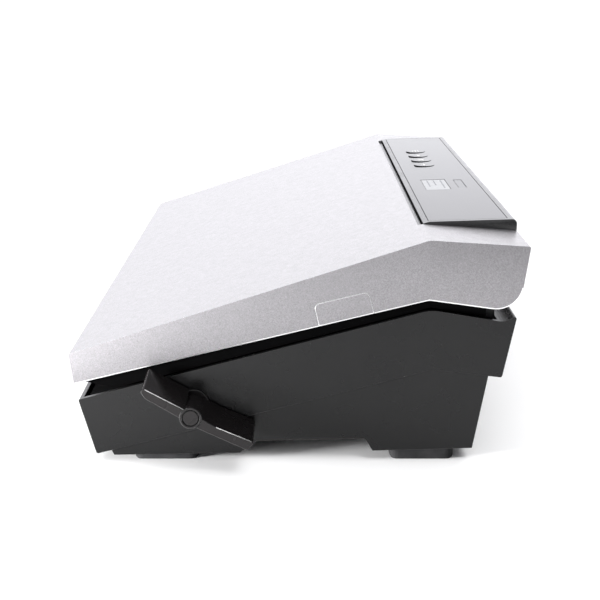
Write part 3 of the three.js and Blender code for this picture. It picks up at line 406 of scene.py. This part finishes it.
def brushed(name, color, roughness, along, grain=900):
    """Metal with fine machining lines along one direction and slight tarnish."""
    s = Shader(name, color, roughness, metallic=1.0)
    lines = s.noise(grain, 2.0, 0.6, s.stretched(along))
    darker = tuple(channel * 0.72 for channel in color)
    tarnish = s.noise(70, 4.0, 0.6)
    s.colour(s.blend(s.scaled(tarnish, 0, 1, 0.35, 0.8), color, darker))
    s.rough(s.scaled(lines, roughness - 0.08, roughness + 0.12, 0.3, 0.7))
    return s.bump(lines, 0.00002, 0.25).material


def rubber(name, color, grain=1800):
    s = Shader(name, color, 0.8, specular=0.3)
    lighter = tuple(channel * 1.5 + 0.012 for channel in color)
    s.colour(s.blend(s.scaled(s.noise(120, 4.0), 0, 1, 0.35, 0.75), color, lighter))
    s.rough(s.scaled(s.noise(200, 3.0), 0.7, 0.92, 0.3, 0.7))
    return s.bump(s.noise(grain, 3.0, 0.7), 0.00005, 0.5).material


def sintered_bronze():
    s = Shader("bronze", (0.42, 0.25, 0.11), 0.42, metallic=0.9)
    s.colour(s.blend(s.cells(2400), (0.46, 0.28, 0.12), (0.30, 0.17, 0.07)))
    return s.bump(s.cells(2400), 0.00003, 0.5).material


def circuit_board():
    """Green solder mask with traces showing as slightly raised, lighter lanes."""
    s = Shader("circuit_board", (0.015, 0.10, 0.045), 0.28)
    lanes = s.put("ShaderNodeTexBrick", Vector=s.stretched((1, 1, 0)), Scale=170.0,
                  offset=0.5).outputs["Fac"]
    s.colour(s.blend(lanes, (0.012, 0.085, 0.038), (0.03, 0.17, 0.08)))
    return s.bump(lanes, 0.00003, 0.6).material


def floor_paper():
    s = Shader("pale_floor", (0.94, 0.94, 0.94), 0.7, specular=0.1)
    s.colour(s.blend(s.noise(14, 5.0, 0.6), (0.93, 0.93, 0.93), (0.95, 0.95, 0.95)))
    return s.material


# ---------------------------------------------------------------- mesh helpers


def new_object(name, mesh, material):
    piece = bpy.data.objects.new(name, mesh)
    bpy.context.collection.objects.link(piece)
    piece.data.materials.append(material)
    return piece


def from_bmesh(name, work, material):
    mesh = bpy.data.meshes.new(name)
    bmesh.ops.recalc_face_normals(work, faces=work.faces)
    work.to_mesh(mesh)
    work.free()
    return new_object(name, mesh, material)


WELD_DISTANCE = 0.01 * MM
FLAT_ANGLE, SPLIT_ANGLE = math.radians(0.4), math.radians(20)


def soften(piece, width, segments=3, angle=28, edge_material=-1):
    """Rounds the sharp edges of a faceted solid, or chamfers them with a single segment."""
    weld = piece.modifiers.new("weld", "WELD")
    weld.merge_threshold = WELD_DISTANCE
    planar = piece.modifiers.new("planar", "DECIMATE")
    planar.decimate_type = "DISSOLVE"
    planar.angle_limit = FLAT_ANGLE
    bevel = piece.modifiers.new("bevel", "BEVEL")
    bevel.width = width
    bevel.segments = segments
    bevel.limit_method = "ANGLE"
    bevel.angle_limit = math.radians(angle)
    bevel.use_clamp_overlap = segments > 1
    bevel.harden_normals = segments > 1
    bevel.material = edge_material
    if segments == 1:
        split = piece.modifiers.new("split", "EDGE_SPLIT")
        split.split_angle = SPLIT_ANGLE


# ---------------------------------------------------------------- the floor


FLOOR_HALF = 20.0


def make_floor(material):
    work = bmesh.new()
    square = ((-1, -1), (1, -1), (1, 1), (-1, 1))
    work.faces.new([work.verts.new((x * FLOOR_HALF, y * FLOOR_HALF, 0)) for x, y in square])
    floor = from_bmesh("floor", work, material)
    floor_light = area_light("floor_light", RIM_PLACE, (0.19, 0.08, 0.0), (0.3, 0.3), 1.6)
    light_only(floor_light, [floor])


# ---------------------------------------------------------------- CAD nodes


def dress(material, names, edge=None):
    for name in names:
        data = nodes[name].data
        data.materials.clear()
        data.materials.append(material)
        if edge is not None:
            data.materials.append(edge)


def both(*stems):
    return [f"{stem}_{side}" for stem in stems for side in SIDES]


def dress_cad():
    dress(silver_paint(), ["lid_cover", *both("side_cap")], painted_highlight_edge())
    black = moulded_black("black_plastic", (0.005, 0.005, 0.0052), 0.24, 2600, 0.00002,
                          wear=0.004, specular=0.26)
    # the rounded edges of tray and pedestal get a lighter black: painted sheen
    dress(black, ["base_tray", "base_pedestal"], sheen_painted_edge("tray_edge_sheen", 0.012, 0.3))
    dress(panel_plastic(), ["panel_housing"])
    handled = moulded_black("lever_plastic", (0.0075, 0.0066, 0.0068), 0.26, 3600, 0.00001,
                            wear=0.004, specular=0.25)
    # the lever's chamfers get a lighter black: painted sheen
    dress(handled, ["lever_knob", "lever_cap", "lever_bush"], sheen_painted_edge("lever_edge_sheen", 0.015, 0.11))
    # Near-zero colour, far darker than the other blacks: painted shade that keeps the paper gap between lid
    # and tray black.
    dark = moulded_black("dark_plastic", (0.0009, 0.0009, 0.001), 0.7, 2200, 0.00003,
                         wear=0.002, specular=0.02)
    dress(dark, ["lower_guide_plate", "upper_guide_plate", "sensor_bar", "power_socket",
                 "feed_pulley", "exit_pulley"])
    dress(gloss_window(), ["panel_glass", *[f"button_{i}" for i in range(1, 5)]])
    dress(white_plastic(), ["backing_bar"])
    dress(lit_display(), ["display_panel"])
    dress(lit_strip(), ["status_light"])
    dress(clear_glass(), ["scan_glass"])
    dress(brushed("steel", (0.56, 0.57, 0.58), 0.26, (0.05, 1, 1)),
          ["usb_socket", "feed_shaft", "exit_shaft", "motor_pulley", "latch_shaft", *both("hinge_pin")])
    dress(brushed("zinc_sheet", (0.46, 0.47, 0.49), 0.42, (1, 0.06, 1), 600),
          ["drive_motor", *both("side_frame", "latch_hook", "striker")])
    dress(moulded_black("black_steel", (0.012, 0.012, 0.013), 0.4, 5200, 0.00001, wear=0.05, specular=0.4),
          both("hinge_bracket", "hinge_ear"))
    dress(rubber("black_rubber", (0.012, 0.012, 0.013)), ["drive_belt", *both("foot_front", "foot_rear")])
    dress(rubber("grey_rubber", (0.07, 0.07, 0.075), 2600),
          [f"{name}_sleeve_{i}" for name in ("feed", "exit") for i in (1, 2, 3)]
          + ["feed_pinch_roller", "exit_pinch_roller"])
    dress(sintered_bronze(), both("feed_bush", "exit_bush"))
    dress(circuit_board(), ["main_board"])


def soften_cad():
    soften(nodes["lid_cover"], 0.4 * MM, edge_material=1)
    soften(nodes["base_tray"], 0.6 * MM, edge_material=1)
    soften(nodes["base_pedestal"], 0.4 * MM, edge_material=1)
    soften(nodes["lever_knob"], 0.22 * MM, 1, edge_material=1)
    soften(nodes["lever_cap"], 0.25 * MM, 1, edge_material=1)
    soften(nodes["lever_bush"], 0.35 * MM, 1, edge_material=1)
    soften(nodes["panel_housing"], 0.3 * MM)
    for name in both("side_cap"):
        soften(nodes[name], 0.15 * MM, 2, edge_material=1)


# ---------------------------------------------------------------- detail pieces

CENTRE = sum(corner.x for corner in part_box("base_tray")) / 2  # the middle of the width


def attach(piece, body):
    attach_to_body(piece, body)
    return piece


def prism(work, loop, lift):
    """A closed loop of points pushed along a vector, as a solid."""
    first = [work.verts.new(point) for point in loop]
    second = [work.verts.new(Vector(point) + lift) for point in loop]
    work.faces.new(first)
    work.faces.new(list(reversed(second)))
    for i, j in zip(range(len(loop)), [*range(1, len(loop)), 0]):
        work.faces.new((first[i], second[i], second[j], first[j]))


def skin(work, rings):
    """Quads between rings of points, with both ends capped."""
    made = [[work.verts.new(point) for point in ring] for ring in rings]
    for low, high in zip(made, made[1:]):
        for i in range(len(low)):
            j = (i + 1) % len(low)
            work.faces.new((low[i], low[j], high[j], high[i]))
    work.faces.new(list(reversed(made[0])))
    work.faces.new(made[-1])


# Printed signs on the keys: outlines round the key's middle in millimetres.

PRINT_SUNK, PRINT_PROUD = 0.02 * MM, 0.05 * MM


def key_signs():
    triangle = [[(-1.6, -2.1), (2.2, 0), (-1.6, 2.1)]]
    square = [[(-1.8, -1.8), (1.8, -1.8), (1.8, 1.8), (-1.8, 1.8)]]
    arrow = [[(-2.3, 0), (-0.1, 2.2), (-0.1, 0.9), (2.3, 0.9), (2.3, -0.9), (-0.1, -0.9), (-0.1, -2.2)]]
    bars = [[(-2.2, y - 0.4), (2.2, y - 0.4), (2.2, y + 0.4), (-2.2, y + 0.4)] for y in (-1.7, 0, 1.7)]
    return triangle, square, arrow, bars


def make_key_signs(material):
    for number, loops in enumerate(key_signs(), 1):
        low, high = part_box(f"button_{number}")
        middle = Vector(((low.x + high.x) / 2, (low.y + high.y) / 2, high.z - PRINT_SUNK))
        work = bmesh.new()
        for loop in loops:
            points = [middle + Vector((x * MM, y * MM, 0)) for x, y in loop]
            prism(work, points, Vector((0, 0, PRINT_SUNK + PRINT_PROUD)))
        attach(from_bmesh(f"key_{number}_sign", work, material), f"key_{number}")


# Bars that stand for lines of text on the display.

DISPLAY_ROWS = ((-0.28, 0.9), (0.02, 0.55), (0.3, 0.7))  # height in the display, length
DISPLAY_BAR = 0.7 * MM
DISPLAY_MARGIN = 0.08  # of the display's width, on each side
DISPLAY_BEVEL = 0.6 * MM  # how far below its top the display's upper corners reach


def make_display_marks(material):
    low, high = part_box("display_panel")
    width, depth = high.x - low.x, high.y - low.y
    corners = [v.co for v in nodes["display_panel"].data.vertices]
    top = sorted((corner.y, corner.z) for corner in corners if corner.z > high.z - DISPLAY_BEVEL)
    (near_y, near_z), (far_y, far_z) = top[0], top[-1]
    near_z = max(z for y, z in top if y < near_y + 0.1 * MM)
    slope = (far_z - near_z) / (far_y - near_y)
    work = bmesh.new()
    for place, length in DISPLAY_ROWS:
        y = (low.y + high.y) / 2 - place * depth
        left = low.x + DISPLAY_MARGIN * width
        right = left + (1 - 2 * DISPLAY_MARGIN) * length * width
        loop = [Vector((x, row, near_z + slope * (row - near_y) - PRINT_SUNK))
                for x, row in ((left, y), (right, y), (right, y + DISPLAY_BAR), (left, y + DISPLAY_BAR))]
        prism(work, loop, Vector((0, 0, PRINT_SUNK + PRINT_PROUD)))
    attach(from_bmesh("display_marks", work, material), "lid")


# A thin near-white strip round each snap-in cap, set in its gap: a painted highlight along the cap's
# outline.

LID_SLOPE = 0.24  # rise of the lid's lower edge over the depth
RIM_OUT, RIM_HALF, RIM_SUNK, RIM_DEEP = 0.15 * MM, 0.05 * MM, 0.04 * MM, 0.5 * MM


def outer_loop(node, side):
    """The corners of a cap's outer face in the side view, in order."""
    mesh = nodes[node].data
    face_x = max(side * v.co.x for v in mesh.vertices)
    outermost = [v.co for v in mesh.vertices if side * v.co.x > face_x - 0.01 * MM]
    ring = {(round(corner.y, 6), round(corner.z, 6)) for corner in outermost}
    middle = Vector((sum(y for y, z in ring) / len(ring), sum(z for y, z in ring) / len(ring)))
    return side * face_x, sorted((Vector(point) for point in ring),
                                 key=lambda p: math.atan2(p.y - middle.y, p.x - middle.x))


def make_cap_highlight_rims(material):
    for name, side in SIDES.items():
        face_x, loop = outer_loop(f"side_cap_{name}", side)
        lowest = sorted(loop, key=lambda p: p.y - LID_SLOPE * p.x)[:2]
        start = loop.index(max(lowest, key=lambda p: p.x))
        path = loop[start:] + loop[:start]
        rings = []
        for index, here in enumerate(path):
            before, after = path[max(index - 1, 0)], path[min(index + 1, len(path) - 1)]
            along = (after - before).normalized()
            out = Vector((along.y, -along.x))
            inner, outer = here + out * (RIM_OUT - RIM_HALF), here + out * (RIM_OUT + RIM_HALF)
            top, bottom = face_x - side * RIM_SUNK, face_x - side * RIM_DEEP
            section = ((top, inner), (top, outer), (bottom, outer), (bottom, inner))
            rings.append([Vector((x, p.x, p.y)) for x, p in section])
        work = bmesh.new()
        skin(work, rings)
        attach(from_bmesh(f"cap_rim_{name}", work, material), "lid")


# Paper ribs along both guide plates, clear of the glass and of the roller openings.

RIB_STATIONS = (-150, -132, -68, -50, -32, 32, 50, 68, 132, 150)
LOWER_PLATE = ((-96, 30.4), (60.4, 71.7))
UPPER_PLATE = ((-84, 35.1), (60.4, 73.3))
LOWER_SPANS = ((-91, -13), (13, 57))
UPPER_SPANS = ((-82, -46), (-21, -13), (13, 21), (43, 58))
RIB_HALF_WIDTH, RIB_HEIGHT, RIB_END = 0.7, 0.45, 2.0
RIB_SHAPE = ((-1, -0.6), (-0.95, 0.4), (-0.55, 0.9), (0, 1), (0.55, 0.9), (0.95, 0.4), (1, -0.6))


def make_ribs(name, body, plate, spans, rise, material):
    (from_y, from_z), (to_y, to_z) = plate
    slope = (to_z - from_z) / (to_y - from_y)
    work = bmesh.new()
    for station in RIB_STATIONS:
        for near, far in spans:
            run_in = [(near + RIB_END * t, math.sin(math.pi / 2 * t)) for t in (0, 0.3, 0.6, 1)]
            run_out = [(far - RIB_END * t, math.sin(math.pi / 2 * t)) for t in (1, 0.6, 0.3, 0)]
            rings = []
            for y, share in run_in + run_out:
                surface = from_z + slope * (y - from_y)
                rings.append([Vector((CENTRE + (station + RIB_HALF_WIDTH * x) * MM, y * MM,
                                      (surface + rise * RIB_HEIGHT * (z if z < 0 else z * share)) * MM))
                              for x, z in RIB_SHAPE])
            skin(work, rings)
    attach(from_bmesh(name, work, material), body)


# Screws in the pedestal's underside, as (across, depth, height of the underside).

SCREW_PLACES = ((-120, -56, 3.35), (120, -56, 3.35), (-120, 60, 5.6), (120, 60, 5.6))
SCREW_HEAD = ((3.2, 0.3), (3.2, -0.6), (2.9, -1.0), (2.2, -1.25))
SCREW_RECESS = ((1.1, -1.3), (1.0, -1.2), (0.9, -0.4))
SCREW_SIDES = 36
SCREW_LOBES, LOBE_MEAN, LOBE_SWING = 6, 1.25, 0.3


def lobes(turn):
    return LOBE_MEAN + LOBE_SWING * math.cos(SCREW_LOBES * turn)


def make_screws(material):
    work = bmesh.new()
    turns = [2 * math.pi * i / SCREW_SIDES for i in range(SCREW_SIDES)]
    for across, depth, under in SCREW_PLACES:
        rings = [[(radius, height, turn) for turn in turns] for radius, height in SCREW_HEAD]
        rings += [[(share * lobes(turn), height, turn) for turn in turns] for share, height in SCREW_RECESS]
        skin(work, [[Vector((CENTRE + (across + radius * math.cos(turn)) * MM,
                             (depth + radius * math.sin(turn)) * MM,
                             (under + height) * MM)) for radius, height, turn in ring] for ring in rings])
    attach(from_bmesh("case_screws", work, material), "base")


def add_details():
    prints = white_plastic()
    make_key_signs(prints)
    make_display_marks(display_ink())
    make_cap_highlight_rims(painted_highlight_edge())
    ribs = moulded_black("rib_plastic", (0.004, 0.004, 0.0045), 0.5, 2200, 0.00001, wear=0.01, specular=0.3)
    make_ribs("lower_paper_ribs", "base", LOWER_PLATE, LOWER_SPANS, 1, ribs)
    make_ribs("upper_paper_ribs", "lid", UPPER_PLATE, UPPER_SPANS, -1, ribs)
    make_screws(brushed("screw_steel", (0.5, 0.5, 0.52), 0.35, (1, 1, 1), 700))


make_camera()
make_lights()
make_world()
bpy.context.scene.view_settings.view_transform = "Standard"
make_floor(floor_paper())
dress_cad()
soften_cad()
add_details()
